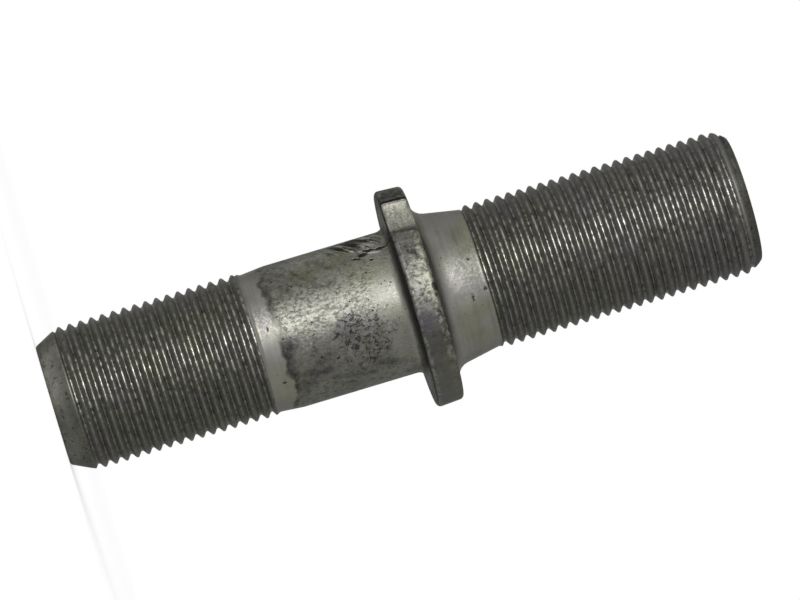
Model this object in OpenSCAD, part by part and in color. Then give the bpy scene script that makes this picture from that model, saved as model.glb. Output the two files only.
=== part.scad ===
// Double-ended wheel bolt, forged and turned in one piece: a thread at each end, a plain
// shank, a locating collar with a locking notch in its rim, and a tapered neck.
// It stands on the end of its short thread, with +Z along its axis. Lengths are millimetres.

/* [Threads] */
// Crest diameter of both threads
thread_d = 19.8; // [19:0.1:22]
// Length of the short thread, from its end face to its last full turn
short_thread_l = 29; // [20:0.5:40]
// Length of the long thread, from the neck to its end face
long_thread_l = 36.8; // [24:0.2:60]
// How far the edge of each end face lies inside the crest
end_step = 1.75; // [1:0.05:3]
// Angle between the axis and the long lead cone of the short thread
lead_angle = 26.5; // [20:0.5:40]
// Angle between the axis and the blunt chamfer of the long thread
tip_angle = 40; // [32:1:50]
// Radius that rounds the long thread's chamfer into its crest
tip_round_r = 3; // [1:0.1:4]
// Radius that breaks the edge of both end faces
face_edge_r = 0.3; // [0.1:0.05:0.6]

/* [Shank] */
// How much smaller in diameter the shank is than the crest
shank_relief = 0.25; // [0.1:0.05:0.8]
// Length of the plain shank, from the run-out cone to the seat face
shank_l = 16.9; // [10:0.1:30]
// Length of the cone where the short thread runs out
runout_l = 3.05; // [1.5:0.05:5]
// Depth below the shank at which the run-out cone starts
runout_depth = 0.3; // [0.1:0.05:0.6]
// Radius of the fillet between shank and seat face
seat_fillet_r = 1.2; // [0.5:0.1:2]

/* [Collar] */
// Diameter of the collar at its seat edge
collar_d = 30; // [28:0.5:36]
// Thickness of the collar at its rim
collar_t = 3.75; // [3:0.05:6]
// Forging draft of the rim, in degrees
rim_draft = 3.5; // [0:0.5:6]
// Forging draft of the upper face, in degrees
face_draft = 4.4; // [0:0.2:6]
// Radius that rounds both edges of the rim
rim_edge_r = 0.6; // [0.2:0.05:1]

/* [Notch] */
// Width of the locking notch across the rim
notch_w = 6.3; // [4:0.1:8]
// Depth of the locking notch below the rim
notch_depth = 1.5; // [0.8:0.05:1.8]
// Direction in which the notch faces, in degrees from +X
notch_azimuth = 225; // [0:5:355]

/* [Neck] */
// Length of the tapered neck, from the rim's upper edge to the long thread
neck_l = 6.7; // [5.5:0.1:12]
// Depth of the neck's thin end below the crest
neck_step = 0.45; // [0.2:0.05:0.8]
// Angle between the axis and the neck's side
neck_angle = 10.7; // [6:0.1:14]
// Radius of the fillet between the collar and the neck
neck_fillet_r = 2; // [1:0.1:2.4]

/* [Hidden] */
$fn = 96;

steel = [0.56, 0.55, 0.51];
// How far a cut reaches past the surface that it opens
overshoot = 1;

thread_r = thread_d / 2;
face_r = thread_r - end_step;
shank_r = thread_r - shank_relief / 2;
runout_r = shank_r - runout_depth;
neck_end_r = thread_r - neck_step;
collar_r = collar_d / 2;

// Heights along the axis, each from the one before it
seat_z = short_thread_l + runout_l + shank_l;
rim_top_z = seat_z + collar_t;
neck_end_z = rim_top_z + neck_l;
bolt_l = neck_end_z + long_thread_l;

// Where the drafted rim, the drafted upper face and the neck's side meet
rim_top_r = collar_r - collar_t * tan(rim_draft);
neck_line_r = neck_end_r + neck_l * tan(neck_angle);
face_rise = (rim_top_r - neck_line_r) * tan(face_draft) / (1 - tan(face_draft) * tan(neck_angle));
neck_start = [neck_line_r - face_rise * tan(neck_angle), rim_top_z + face_rise];

// Half section as [radius, height] corners, from the lower end face up
short_face = [face_r, 0];
lead_end = [thread_r, end_step / tan(lead_angle)];
short_last = [thread_r, short_thread_l - (thread_r - runout_r)];
runout_start = [runout_r, short_thread_l];
runout_end = [shank_r, short_thread_l + runout_l];
seat_root = [shank_r, seat_z];
seat_edge = [collar_r, seat_z];
rim_top = [rim_top_r, rim_top_z];
neck_end = [neck_end_r, neck_end_z];
long_first = [thread_r, neck_end_z + (thread_r - neck_end_r)];
tip_start = [thread_r, bolt_l - end_step / tan(tip_angle)];
long_face = [face_r, bolt_l];

// Largest turn of one straight step along a rounded corner, in degrees
arc_step = 8;

// Direction from one point to another, one unit long
function heading(a, b) = (b - a) / norm(b - a);

// A point turned about the origin
function turned(p, angle) = [
    p.x * cos(angle) - p.y * sin(angle), p.x * sin(angle) + p.y * cos(angle)
];

// The arc of radius r that rounds a corner and is tangent to both of its sides
function rounded(before, corner, after, r) =
    let (
        u = heading(corner, before),
        v = heading(corner, after),
        half_angle = acos(u * v) / 2,
        centre = corner + heading([0, 0], u + v) * (r / sin(half_angle)),
        start = corner + u * (r / tan(half_angle)) - centre,
        turn = (180 - 2 * half_angle) * sign(cross(v, u)),
        steps = ceil(abs(turn) / arc_step)
    )
    [for (k = [0:steps]) centre + turned(start, turn * k / steps)];

outline = concat(
    [[0, 0]],
    rounded([0, 0], short_face, lead_end, face_edge_r),
    [lead_end, short_last, runout_start, runout_end],
    rounded(runout_end, seat_root, seat_edge, seat_fillet_r),
    rounded(seat_root, seat_edge, rim_top, rim_edge_r),
    rounded(seat_edge, rim_top, neck_start, rim_edge_r),
    rounded(rim_top, neck_start, neck_end, neck_fillet_r),
    [neck_end, long_first],
    rounded(long_first, tip_start, long_face, tip_round_r),
    rounded(tip_start, long_face, [0, bolt_l], face_edge_r),
    [[0, bolt_l]]
);

// Round cutter for the locking notch, parallel to the axis and through the whole rim
module notch_cutter() {
    chord_r = sqrt(collar_r * collar_r - notch_w * notch_w / 4);
    rise = chord_r - (collar_r - notch_depth);
    cutter_r = (notch_w * notch_w / 4 + rise * rise) / (2 * rise);
    rotate([0, 0, notch_azimuth])
        translate([collar_r - notch_depth + cutter_r, 0, seat_z - overshoot])
            cylinder(h = collar_t + face_rise + 2 * overshoot, r = cutter_r);
}

module wheel_bolt() {
    color(steel)
        difference() {
            rotate_extrude() polygon(outline);
            notch_cutter();
        }
}

wheel_bolt();
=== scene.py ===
"""A double-ended wheel bolt in worn, stained steel, standing on the end of its short thread.

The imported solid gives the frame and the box. One closed mesh stands for it: turned rows for the
plain parts and helical rows for the two threads, all sharing the same columns round the axis.
Lengths are metres, +Z runs along the axis towards the long thread.
"""

import logging
import math
from dataclasses import dataclass, field
from enum import Enum

import bpy
import numpy as np
from mathutils import Matrix, Vector


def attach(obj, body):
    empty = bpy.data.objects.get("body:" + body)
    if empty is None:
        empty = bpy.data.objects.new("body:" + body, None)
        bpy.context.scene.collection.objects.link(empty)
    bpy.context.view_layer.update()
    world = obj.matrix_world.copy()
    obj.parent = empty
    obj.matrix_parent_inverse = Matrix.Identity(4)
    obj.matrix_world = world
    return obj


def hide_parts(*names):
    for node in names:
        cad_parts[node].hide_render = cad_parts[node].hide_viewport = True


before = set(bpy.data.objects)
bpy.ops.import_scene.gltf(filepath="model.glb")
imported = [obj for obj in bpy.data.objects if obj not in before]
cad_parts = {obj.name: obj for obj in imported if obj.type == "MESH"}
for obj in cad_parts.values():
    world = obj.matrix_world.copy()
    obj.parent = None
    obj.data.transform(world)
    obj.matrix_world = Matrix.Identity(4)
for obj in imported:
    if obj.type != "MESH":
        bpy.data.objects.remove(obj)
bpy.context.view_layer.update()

LOG = logging.getLogger("wheel_bolt")
MM = 0.001
NODE = "wheel_bolt"


@dataclass(frozen=True)
class BoltSizes:
    """Sizes of the bolt in metres and radians: its solid's, but for the end edges and the last crest."""

    thread_r: float = 9.9 * MM
    pitch: float = 1.5 * MM
    short_thread_l: float = 29.0 * MM
    long_thread_l: float = 36.8 * MM
    end_step: float = 1.75 * MM
    lead_angle: float = math.radians(26.5)
    tip_step: float = 1.4 * MM
    tip_angle: float = math.radians(40.0)
    tip_round_r: float = 3.0 * MM
    face_edge_r: float = 0.5 * MM
    shank_r: float = 9.775 * MM
    shank_l: float = 16.9 * MM
    runout_l: float = 3.05 * MM
    runout_early: float = 0.4 * MM
    runout_depth: float = 0.3 * MM
    seat_fillet_r: float = 1.2 * MM
    collar_r: float = 15.0 * MM
    collar_t: float = 3.75 * MM
    rim_draft: float = math.radians(3.5)
    face_draft: float = math.radians(4.4)
    rim_edge_r: float = 0.6 * MM
    notch_w: float = 6.3 * MM
    notch_depth: float = 1.5 * MM
    notch_azimuth: float = math.radians(225.0)
    neck_l: float = 6.7 * MM
    neck_step: float = 0.45 * MM
    neck_angle: float = math.radians(10.7)
    neck_fillet_r: float = 2.0 * MM

    @property
    def face_r(self) -> float:
        """Radius of the short thread's end face."""
        return self.thread_r - self.end_step

    @property
    def tip_r(self) -> float:
        """Radius of the long thread's end face."""
        return self.thread_r - self.tip_step

    @property
    def seat_z(self) -> float:
        """Height of the collar's lower face."""
        return self.short_thread_l + self.runout_l + self.shank_l

    @property
    def rim_top_z(self) -> float:
        """Height of the rim's upper edge."""
        return self.seat_z + self.collar_t

    @property
    def rim_top_r(self) -> float:
        """Radius of the rim's upper edge."""
        return self.collar_r - self.collar_t * math.tan(self.rim_draft)

    @property
    def neck_end_z(self) -> float:
        """Height at which the neck meets the long thread."""
        return self.rim_top_z + self.neck_l

    @property
    def bolt_l(self) -> float:
        """Overall length."""
        return self.neck_end_z + self.long_thread_l

    @property
    def notch_half_angle(self) -> float:
        """Half the angle that the notch takes out of the rim."""
        return math.asin(self.notch_w / 2 / self.collar_r)

    @property
    def notch_cutter_r(self) -> float:
        """Radius of the round cutter that makes the notch."""
        half = self.notch_w / 2
        rise = self.collar_r * math.cos(self.notch_half_angle) - (self.collar_r - self.notch_depth)
        return (half * half + rise * rise) / (2 * rise)


def heading(start: np.ndarray, end: np.ndarray) -> np.ndarray:
    """Direction from one point to another, one unit long.

    Args:
        start: the first point.
        end: the second point.

    Returns:
        The unit vector.
    """
    return (end - start) / np.linalg.norm(end - start)


def rounded(before: np.ndarray, corner: np.ndarray, after: np.ndarray, radius: float,
            step: float) -> np.ndarray:
    """The arc that rounds a corner and is tangent to both of its sides.

    Its centre lies on the bisector at radius / sin(half the corner's angle), and its points are
    that centre plus the first foot turned in even steps.

    Args:
        before: a point on the side that comes in.
        corner: the sharp corner.
        after: a point on the side that goes out.
        radius: the arc's radius.
        step: the largest turn of one straight piece, in radians.

    Returns:
        The arc's points, one row each.
    """
    u, v = heading(corner, before), heading(corner, after)
    half = math.acos(float(np.clip(u @ v, -1.0, 1.0))) / 2
    centre = corner + heading(np.zeros(2), u + v) * (radius / math.sin(half))
    foot = corner + u * (radius / math.tan(half)) - centre
    turn = (math.pi - 2 * half) * float(np.sign(v[0] * u[1] - v[1] * u[0]))
    angles = np.linspace(0.0, turn, max(2, math.ceil(abs(turn) / step)) + 1)
    c, s = np.cos(angles), np.sin(angles)
    return centre + np.stack([foot[0] * c - foot[1] * s, foot[0] * s + foot[1] * c], axis=1)


@dataclass(frozen=True)
class Outline:
    """The half section of the bolt's blank, as radius and height, without the thread's grooves."""

    sizes: BoltSizes
    arc_step: float = math.radians(15.0)

    def points(self) -> np.ndarray:
        """The outline from the lower end face's edge to the upper one's.

        Returns:
            One row of radius and height for each point.
        """
        s = self.sizes
        runout_r = s.shank_r - s.runout_depth
        neck_end_r = s.thread_r - s.neck_step
        neck_line_r = neck_end_r + s.neck_l * math.tan(s.neck_angle)
        slope, draft = math.tan(s.neck_angle), math.tan(s.face_draft)
        rise = (s.rim_top_r - neck_line_r) * draft / (1 - draft * slope)
        corner = {
            "low": (0.0, 0.0),
            "short_face": (s.face_r, 0.0),
            "lead_end": (s.thread_r, s.end_step / math.tan(s.lead_angle)),
            "short_last": (s.thread_r, s.short_thread_l - s.runout_early - (s.thread_r - runout_r)),
            "runout_start": (runout_r, s.short_thread_l - s.runout_early),
            "runout_end": (s.shank_r, s.short_thread_l + s.runout_l),
            "seat_root": (s.shank_r, s.seat_z),
            "seat_edge": (s.collar_r, s.seat_z),
            "rim_top": (s.rim_top_r, s.rim_top_z),
            "neck_start": (neck_line_r - rise * slope, s.rim_top_z + rise),
            "neck_end": (neck_end_r, s.neck_end_z),
            "long_first": (s.thread_r, s.neck_end_z + s.neck_step),
            "tip_start": (s.thread_r, s.bolt_l - s.tip_step / math.tan(s.tip_angle)),
            "long_face": (s.tip_r, s.bolt_l),
            "high": (0.0, s.bolt_l),
        }
        radii = {
            "short_face": s.face_edge_r,
            "seat_root": s.seat_fillet_r,
            "seat_edge": s.rim_edge_r,
            "rim_top": s.rim_edge_r,
            "neck_start": s.neck_fillet_r,
            "tip_start": s.tip_round_r,
            "long_face": s.face_edge_r,
        }
        names = list(corner)
        spots = [np.array(corner[name]) for name in names]
        parts = []
        for k in range(1, len(names) - 1):
            if names[k] in radii:
                parts.append(rounded(spots[k - 1], spots[k], spots[k + 1], radii[names[k]], self.arc_step))
            else:
                parts.append(spots[k][None, :])
        return np.concatenate(parts)

    def between(self, low: float, high: float, step: float) -> np.ndarray:
        """The stretch of the outline between two heights, with no piece longer than step.

        Args:
            low: height at which the stretch starts.
            high: height at which it ends.
            step: largest spacing of the points.

        Returns:
            One row of radius and height for each point.
        """
        points = self.points()
        inner = points[(points[:, 1] > low) & (points[:, 1] < high)]
        ends = [[float(self.radius_at(np.array([z]))[0]), z] for z in (low, high)]
        path = np.concatenate([ends[:1], inner, ends[1:]])
        length = np.linalg.norm(np.diff(path, axis=0), axis=1)
        pieces = np.maximum(1, np.ceil(length / step).astype(int))
        fine = [
            path[k] + (path[k + 1] - path[k]) * np.linspace(0, 1, n, endpoint=False)[:, None]
            for k, n in enumerate(pieces)
        ]
        return np.concatenate(fine + [path[-1:]])

    def radius_at(self, z: np.ndarray) -> np.ndarray:
        """Radius of the blank at heights where the outline doesn't turn back.

        Args:
            z: the heights.

        Returns:
            The radii.
        """
        points = self.points()
        return np.interp(z, points[:, 1], points[:, 0])


def smooth_step(x: np.ndarray, low: float, high: float) -> np.ndarray:
    """Rises from 0 at low to 1 at high, as 3 t squared less 2 t cubed.

    Args:
        x: the values.
        low: where the rise starts.
        high: where it ends.

    Returns:
        The weights.
    """
    t = np.clip((x - low) / (high - low), 0.0, 1.0)
    return t * t * (3 - 2 * t)


def lattice_noise(points: np.ndarray, size: float, seed: int) -> np.ndarray:
    """Smooth noise from -1 to 1: hashed values at the corners of a cubic lattice, blended inside it.

    Args:
        points: one row of coordinates for each point.
        size: edge of one lattice cell.
        seed: picks one pattern out of many.

    Returns:
        One value for each point.
    """
    scaled = points / size
    cell = np.floor(scaled).astype(np.int64)
    part = scaled - cell
    part = part * part * (3 - 2 * part)
    total = np.zeros(len(points))
    for dx in (0, 1):
        for dy in (0, 1):
            for dz in (0, 1):
                corner = cell + np.array([dx, dy, dz])
                key = corner @ np.array([73856093, 19349663, 83492791]) + seed * 2654435761
                key = (key ^ (key >> 13)) * 1274126177 & 0x7FFFFFFF
                key = (key ^ (key >> 16)) & 0xFFFF
                weight = np.prod(np.where(np.array([dx, dy, dz]) == 1, part, 1 - part), axis=1)
                total += weight * (key / 32767.5 - 1.0)
    return total


@dataclass(frozen=True)
class ThreadForm:
    """The cross-section of one turn: round crest, straight flanks and round root."""

    pitch: float
    crest_r: float = 0.21 * MM
    root_r: float = 0.25 * MM
    flank: float = math.radians(54.0)
    steps: tuple = (-0.44, -0.38, -0.26, -0.145, -0.07, 0.0, 0.07, 0.145, 0.26, 0.38, 0.44, 0.5)

    @property
    def crest_half(self) -> float:
        """Half the width of the crest's arc."""
        return self.crest_r * math.sin(self.flank)

    @property
    def flank_end(self) -> float:
        """Distance from the crest at which the root's arc starts."""
        return self.pitch / 2 - self.root_r * math.sin(self.flank)

    def drop(self, phase: np.ndarray) -> np.ndarray:
        """How far the surface lies below the crest.

        An arc drops by r - sqrt(r squared - x squared), the flank goes on along the arc's last
        slope, and the root's arc ends it, turned over.

        Args:
            phase: position along the axis in turns, 0 at a crest.

        Returns:
            The drops.
        """
        away = np.abs(phase - np.round(phase)) * self.pitch
        crest = np.minimum(away, self.crest_half)
        flank = np.clip(away, self.crest_half, self.flank_end) - self.crest_half
        root_end = self.pitch / 2 - self.flank_end
        root = np.minimum(self.pitch / 2 - away, root_end)
        arc_drop = self.crest_r - np.sqrt(self.crest_r ** 2 - crest ** 2)
        root_lift = np.sqrt(self.root_r ** 2 - root ** 2) - math.sqrt(self.root_r ** 2 - root_end ** 2)
        return arc_drop + flank * math.tan(self.flank) + np.where(away > self.flank_end, root_lift, 0)


@dataclass(frozen=True)
class ThreadZone:
    """One threaded stretch: its limits, its crest's place and where its grooves fade."""

    low: float
    high: float
    crest_z: float
    fade_in: tuple
    fade_out: tuple
    over_chamfer: float = 3.0 * MM

    def groove(self, z: np.ndarray) -> np.ndarray:
        """Weight of the grooves at a height, 0 where the thread has run out."""
        return smooth_step(z, *self.fade_in) * (1 - smooth_step(z, *self.fade_out))


@dataclass
class Skin:
    """Collects rings of points round the axis and joins them into one closed surface."""

    columns: int
    points: list = field(default_factory=list)
    triangles: list = field(default_factory=list)
    count: int = 0

    def add(self, points: np.ndarray) -> np.ndarray:
        """Adds points.

        Args:
            points: one row of coordinates each.

        Returns:
            Their numbers.
        """
        self.points.append(points)
        numbers = np.arange(self.count, self.count + len(points))
        self.count += len(points)
        return numbers

    def sheet(self, grid: np.ndarray) -> None:
        """Joins a grid of point numbers, whose last column closes the turn, and drops empty corners.

        Args:
            grid: point numbers, one row for each ring from low to high.
        """
        a, b = grid[:-1, :-1], grid[:-1, 1:]
        c, d = grid[1:, 1:], grid[1:, :-1]
        both = np.stack([np.stack([a, b, c], -1), np.stack([a, c, d], -1)])
        flat = both.reshape(-1, 3)
        whole = (flat[:, 0] != flat[:, 1]) & (flat[:, 1] != flat[:, 2]) & (flat[:, 2] != flat[:, 0])
        self.triangles.append(flat[whole])

    def rings(self, rows: np.ndarray, first: np.ndarray | None = None) -> np.ndarray:
        """Joins closed rings, each above the one before.

        Args:
            rows: coordinates, by ring and column.
            first: numbers of a ring that is there already, below these.

        Returns:
            The last ring's numbers.
        """
        numbers = self.add(rows.reshape(-1, 3)).reshape(len(rows), self.columns)
        if first is not None:
            numbers = np.concatenate([first[None, :], numbers])
        self.sheet(np.concatenate([numbers, numbers[:, :1]], axis=1))
        return numbers[-1]

    def pole(self, point: np.ndarray, ring: np.ndarray, up: bool) -> None:
        """Closes a ring with a fan to one point on the axis.

        Args:
            point: the point.
            ring: the ring's numbers.
            up: true where the fan faces up.
        """
        tip = np.full(len(ring), self.add(point[None, :])[0])
        ahead = np.roll(ring, -1)
        order = [ring, ahead, tip] if up else [ahead, ring, tip]
        self.triangles.append(np.stack(order, -1))

    def mesh(self, name: str) -> bpy.types.Mesh:
        """Makes the mesh.

        Args:
            name: the mesh's name.

        Returns:
            The mesh, shaded smooth.
        """
        mesh = bpy.data.meshes.new(name)
        mesh.from_pydata(np.concatenate(self.points).tolist(), [], np.concatenate(self.triangles).tolist())
        mesh.shade_smooth()
        mesh.update()
        return mesh


@dataclass(frozen=True)
class PhotoView:
    """How the bolt stands to the camera: the side that faces it, and how it lies in the picture."""

    facing_azimuth: float = math.radians(273.25)
    roll: float = math.radians(16.714)
    centre_z: float = 48.3 * MM
    eye_z: float = 7.0 * MM
    eye_distance: float = 867.0 * MM
    axis_shift: float = 0.20 * MM
    pixels_per_metre: float = 7500.0
    frame_width: int = 800

    @property
    def toward(self) -> Vector:
        """Level direction from the axis to the camera."""
        return Vector((math.cos(self.facing_azimuth), math.sin(self.facing_azimuth), 0.0))

    @property
    def below(self) -> Vector:
        """Level direction that points down across the axis in the picture."""
        return Vector((-self.toward.y, self.toward.x, 0.0))


class WheelBolt:
    """The bolt's visible surface."""

    NAME = "bolt_surface"
    WEAR_DEPTH = 0.07 * MM
    EASED_CORNER = 0.3 * MM
    EASED_VALLEY = 0.10 * MM
    LEAST_GAP = 0.004 * MM
    COLLAR_ROOT_R = 12.9 * MM
    END_STEP = 0.5 * MM
    MIDDLE_STEP = 0.42 * MM

    def __init__(self, sizes: BoltSizes) -> None:
        """Works out the columns and the threaded stretches.

        Args:
            sizes: the bolt's sizes.
        """
        self.sizes = sizes
        self.outline = Outline(sizes)
        self.form = ThreadForm(pitch=sizes.pitch)
        self.angles = self.column_angles()
        end, start, top = sizes.short_thread_l, sizes.neck_end_z, sizes.bolt_l
        self.short = ThreadZone(
            low=1.3 * MM, high=end + 0.4 * MM, crest_z=1.4 * MM,
            fade_in=(2.3 * MM, 3.2 * MM), fade_out=(end - 1.2 * MM, end - 0.4 * MM),
        )
        self.long = ThreadZone(
            low=start - 0.5 * MM, high=top - 0.45 * MM, crest_z=0.9 * MM,
            fade_in=(start - 0.4 * MM, start + 0.3 * MM), fade_out=(top - 0.9 * MM, top - 0.45 * MM),
            over_chamfer=0.3 * MM,
        )

    def column_angles(self, fine: int = 28, beside: int = 4, coarse: int = 112) -> np.ndarray:
        """Azimuths of the columns, close together across the notch and even elsewhere.

        Args:
            fine: steps across the notch.
            beside: steps of the same size on each side of it.
            coarse: steps round the rest.

        Returns:
            Rising azimuths over one full turn, the last one a turn above the first.
        """
        step = 2 * self.sizes.notch_half_angle / fine
        edge = self.sizes.notch_half_angle + beside * step
        start = self.sizes.notch_azimuth - edge
        close = np.linspace(0, 2 * edge, fine + 2 * beside + 1)
        rest = np.linspace(2 * edge, 2 * math.pi, coarse + 1)[1:]
        return start + np.concatenate([close, rest])

    def notch_floor(self) -> np.ndarray:
        """How far the notch moves the rim inwards at each column.

        In the frame of the notch's cutter, the near wall of the cut lies at
        d cos(a) - sqrt(c squared - d squared sin squared(a)), a being the angle from its centre.

        Returns:
            The inward shift for each column, without the closing one.
        """
        s = self.sizes
        away = self.angles[:-1] - s.notch_azimuth
        centre = s.collar_r - s.notch_depth + s.notch_cutter_r
        under = s.notch_cutter_r ** 2 - (centre * np.sin(away)) ** 2
        wall = centre * np.cos(away) - np.sqrt(np.maximum(under, 0))
        inside = (under > 0) & (np.cos(away) > 0)
        return np.where(inside, np.maximum(s.collar_r - wall, 0), 0)

    def turned_rows(self, path: np.ndarray) -> np.ndarray:
        """Rings that follow a stretch of the outline, pulled in at the notch.

        A point of the collar between its root and its rim moves in by the notch's depth times its
        share of the way out.

        Args:
            path: one row of radius and height for each ring.

        Returns:
            Coordinates by ring and column.
        """
        span = self.sizes.rim_top_r - self.COLLAR_ROOT_R
        share = np.clip((path[:, :1] - self.COLLAR_ROOT_R) / span, 0, 1)
        radius = path[:, :1] - share * self.notch_floor()[None, :]
        height = np.broadcast_to(path[:, 1:], radius.shape)
        angle = self.angles[None, :-1]
        return np.stack([radius * np.cos(angle), radius * np.sin(angle), height], axis=-1)

    def helical_rows(self, skin: Skin, zone: ThreadZone, ring: np.ndarray) -> np.ndarray:
        """Joins a threaded stretch to the ring below it.

        Row n climbs one pitch in a turn: its height is low + pitch (turns of n - 1 + azimuth share
        of a turn), held between the stretch's ends, and its column that closes the turn is the
        first column of the row one turn up. The radius is the smaller of the blank's and
        crest radius - depth times the turn's shape.

        Args:
            skin: the surface to add to.
            zone: the stretch.
            ring: the ring at the stretch's low end.

        Returns:
            The ring at its high end.
        """
        form, columns = self.form, skin.columns
        per_turn = len(form.steps)
        turns = math.ceil((zone.high - zone.low) / form.pitch) + 3
        first_turn = math.floor((zone.low - zone.crest_z) / form.pitch - self.angles[0] / (2 * math.pi)) - 1
        start = zone.crest_z + first_turn * form.pitch
        ramp = (np.arange(turns)[:, None] + np.array(form.steps)[None, :]).reshape(-1)
        height = start + form.pitch * (ramp[:, None] + self.angles[None, :] / (2 * math.pi))
        phase = np.broadcast_to(ramp[:, None], height.shape)
        below = height <= zone.low + self.LEAST_GAP
        inside = ~below & (height < zone.high - self.LEAST_GAP)
        inside[:, -1] = False
        z, turned = height[inside], np.broadcast_to(self.angles[None, :], height.shape)[inside]
        radius = self.thread_radius(zone, z, phase[inside])
        placed = self.wear(zone, np.stack([radius * np.cos(turned), radius * np.sin(turned), z], axis=-1))
        top_r = self.thread_radius(zone, np.array([zone.high]), np.array([0.0]))[0]
        angle = self.angles[:-1]
        top = skin.add(np.stack([top_r * np.cos(angle), top_r * np.sin(angle),
                                 np.full(columns, zone.high)], axis=-1))
        grid = np.where(below, np.append(ring, ring[0])[None, :], np.append(top, top[0])[None, :])
        grid[inside] = skin.add(placed)
        grid[:-per_turn, -1] = grid[per_turn:, 0]
        skin.sheet(grid)
        return top

    def thread_radius(self, zone: ThreadZone, z: np.ndarray, phase: np.ndarray) -> np.ndarray:
        """Radius of a threaded stretch at given heights and phases.

        It is the smaller of the blank's radius, averaged over a short stretch so that its corners
        are eased, and the cut one, with the valley between the two rounded. The crests that are cut
        from follow a chamfer at most a little above it, so the grooves run on over it.

        Args:
            zone: the stretch.
            z: the heights.
            phase: the positions in the turn, 0 at a crest.

        Returns:
            The radii.
        """
        near = z[None, :] + np.linspace(-self.EASED_CORNER, self.EASED_CORNER, 7)[:, None]
        blank = self.outline.radius_at(near).mean(axis=0)
        crest = np.minimum(self.sizes.thread_r, blank + zone.over_chamfer)
        cut = crest - zone.groove(z) * self.form.drop(phase)
        overlap = np.maximum(self.EASED_VALLEY - np.abs(blank - cut), 0) / self.EASED_VALLEY
        return np.minimum(blank, cut) - overlap ** 2 * self.EASED_VALLEY / 4

    def wear(self, zone: ThreadZone, points: np.ndarray) -> np.ndarray:
        """Points of a thread pulled in towards the axis by smooth noise, as rolling and knocks leave it.

        The pull is half the wear's depth times one plus the noise, mixed from a coarse and a fine
        pattern, and it fades with the grooves.

        Args:
            zone: the threaded stretch.
            points: one row of coordinates each.

        Returns:
            The moved points.
        """
        noise = 0.75 * lattice_noise(points, 1.5 * MM, 1) + 0.25 * lattice_noise(points, 0.7 * MM, 2)
        pull = self.WEAR_DEPTH / 2 * (1 + noise) * zone.groove(points[:, 2])
        shrink = 1 - pull / np.linalg.norm(points[:, :2], axis=1)
        return np.stack([points[:, 0] * shrink, points[:, 1] * shrink, points[:, 2]], axis=1)

    def build(self) -> bpy.types.Object:
        """Builds the whole surface as one closed mesh.

        Returns:
            The object, linked to the scene.
        """
        s = self.sizes
        skin = Skin(columns=len(self.angles) - 1)
        face_steps = np.linspace(0, 1, 7)[1:-1]
        edge = self.outline.between(0.0, self.short.low, self.END_STEP)
        disc = np.stack([face_steps * edge[0, 0], np.zeros(len(face_steps))], axis=1)
        low = skin.rings(self.turned_rows(np.concatenate([disc, edge])))
        skin.pole(np.zeros(3), np.arange(skin.columns), up=False)
        ring = self.helical_rows(skin, self.short, low)
        middle = self.outline.between(self.short.high, self.long.low, self.MIDDLE_STEP)[1:]
        ring = skin.rings(self.turned_rows(middle), first=ring)
        ring = self.helical_rows(skin, self.long, ring)
        edge = self.outline.between(self.long.high, s.bolt_l, self.END_STEP)[1:]
        disc = np.stack([face_steps[::-1] * edge[-1, 0], np.full(len(face_steps), s.bolt_l)], axis=1)
        ring = skin.rings(self.turned_rows(np.concatenate([edge, disc])), first=ring)
        skin.pole(np.array([0.0, 0.0, s.bolt_l]), ring, up=True)
        bolt = bpy.data.objects.new(self.NAME, skin.mesh(self.NAME))
        bpy.context.scene.collection.objects.link(bolt)
        LOG.info("%s: %d triangles", self.NAME, len(bolt.data.polygons))
        return bolt


class Wire:
    """A number that flows through the shader, with the sums that a surface needs."""

    def __init__(self, graph: "Graph", socket: bpy.types.NodeSocket) -> None:
        """Keeps the graph and the socket.

        Args:
            graph: the graph that the socket is in.
            socket: the output that carries the number.
        """
        self.graph = graph
        self.socket = socket

    def __add__(self, other: "Wire | float") -> "Wire":
        """This plus other."""
        return self.graph.math("ADD", self, other)

    def __radd__(self, other: float) -> "Wire":
        """Other plus this."""
        return self.graph.math("ADD", other, self)

    def __sub__(self, other: "Wire | float") -> "Wire":
        """This less other."""
        return self.graph.math("SUBTRACT", self, other)

    def __rsub__(self, other: float) -> "Wire":
        """Other less this."""
        return self.graph.math("SUBTRACT", other, self)

    def __mul__(self, other: "Wire | float") -> "Wire":
        """This times other."""
        return self.graph.math("MULTIPLY", self, other)

    def __rmul__(self, other: float) -> "Wire":
        """Other times this."""
        return self.graph.math("MULTIPLY", other, self)

    def __truediv__(self, other: "Wire | float") -> "Wire":
        """This over other."""
        return self.graph.math("DIVIDE", self, other)

    def __abs__(self) -> "Wire":
        """Its size without its sign."""
        return self.graph.math("ABSOLUTE", self)

    def rise(self, low: float, high: float) -> "Wire":
        """An eased rise from 0 at low to 1 at high, and a fall where low is the larger.

        Args:
            low: the value at which it is 0.
            high: the value at which it is 1.

        Returns:
            The weight.
        """
        if low > high:
            return 1.0 - self.rise(high, low)
        node = self.graph.node(
            "ShaderNodeMapRange", {"interpolation_type": "SMOOTHSTEP"},
            {"Value": self, "From Min": low, "From Max": high},
        )
        return Wire(self.graph, node.outputs["Result"])

    def band(self, low: float, high: float, edge: float) -> "Wire":
        """A weight that is 1 between two values and eases to 0 over an edge outside them.

        Args:
            low: lower limit.
            high: upper limit.
            edge: width of each eased edge.

        Returns:
            The weight.
        """
        middle, half = (low + high) / 2, (high - low) / 2
        return abs(self - middle).rise(half + edge, half)


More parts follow.
